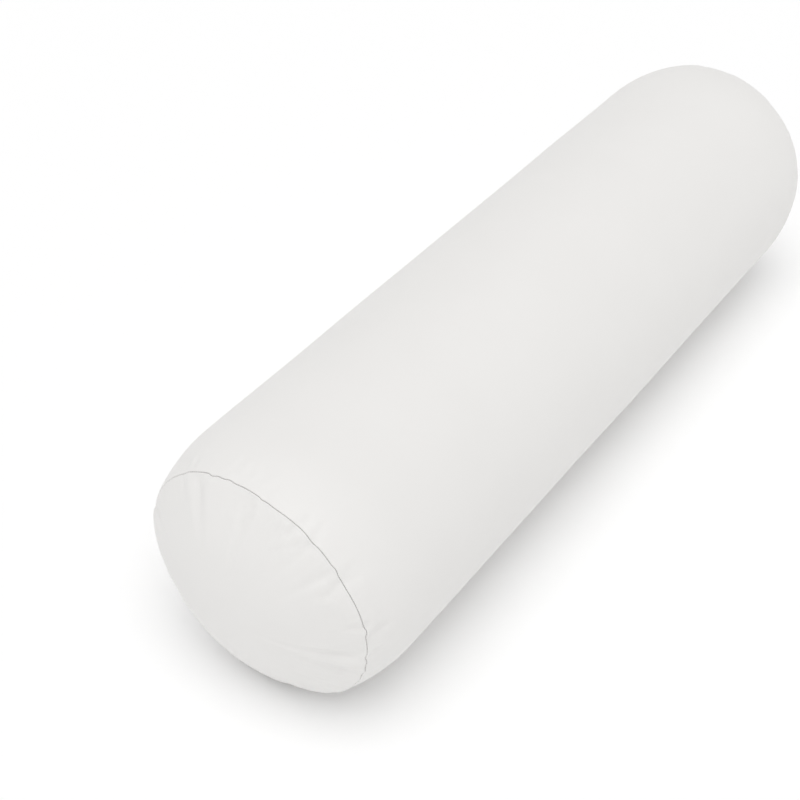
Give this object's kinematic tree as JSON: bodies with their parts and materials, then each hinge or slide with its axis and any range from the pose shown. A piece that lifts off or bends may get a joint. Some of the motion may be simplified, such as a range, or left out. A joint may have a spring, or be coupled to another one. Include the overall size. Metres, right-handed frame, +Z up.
{
  "type": "bolster pillow",
  "caption": "Round bolster pillow with domed ends, a removable cloth cover closed by a curved end zip, and a cased cushion of foam and fibre.",
  "frame": {"origin": "bottom centre of the pillow, on the flat strip that it rests on", "axes": "+X along the pillow towards the zipped end, +Z up, +Y towards the side where the closed slider stands"},
  "size_m": [0.538, 0.152, 0.1493],
  "materials": {
    "cover_cloth": "fine brushed microfibre, satin",
    "thread": "spun polyester thread",
    "zip_tape": "herringbone woven tape",
    "zip_coil": "smooth moulded filament",
    "zip_metal": "white enamel",
    "label_cloth": "satin ribbon, blank",
    "liner_cloth": "plain matt non-woven",
    "fibre": "bonded polyester fibre",
    "foam": "open-cell foam"
  },
  "bodies": {
    "bolster": {"cover_tube": "cover_cloth", "cover_end_plain": "cover_cloth", "cover_end_zipped": "cover_cloth", "seam_stitches_side": "thread", "seam_stitches_plain_end": "thread", "seam_stitches_zipped_end": "thread", "zip_tape_tube_side": "zip_tape", "zip_tape_end_side": "zip_tape", "zip_stitches_tube_side": "thread", "zip_stitches_end_side": "thread", "zip_coil_tube_side": "zip_coil", "zip_coil_end_side": "zip_coil", "zip_top_stops": "zip_coil", "zip_bottom_stop": "zip_coil", "care_label": "label_cloth", "liner_tube": "liner_cloth", "liner_end_plain": "liner_cloth", "liner_end_zipped": "liner_cloth", "liner_stitches_side": "thread", "liner_stitches_plain_end": "thread", "liner_stitches_zipped_end": "thread", "fibre_wrap": "fibre", "fibre_pad_plain_end": "fibre", "fibre_pad_zipped_end": "fibre", "foam_core": "foam"},
    "slider": {"zip_slider": "zip_metal"},
    "pull": {"zip_pull": "zip_metal"}
  },
  "joints": [
    {"name": "zip_travel", "type": "hinge", "parent": "bolster", "child": "slider", "pos_m": [0, 0, 0.07332], "axis": [-1, 0, 0], "range_deg": [0, 172]},
    {"name": "pull_swing", "type": "hinge", "parent": "slider", "child": "pull", "pos_m": [0.24636, 0.07082, 0.07332], "axis": [0.8005, -0.5994, 0], "range_deg": [-6, 180]}
  ]
}
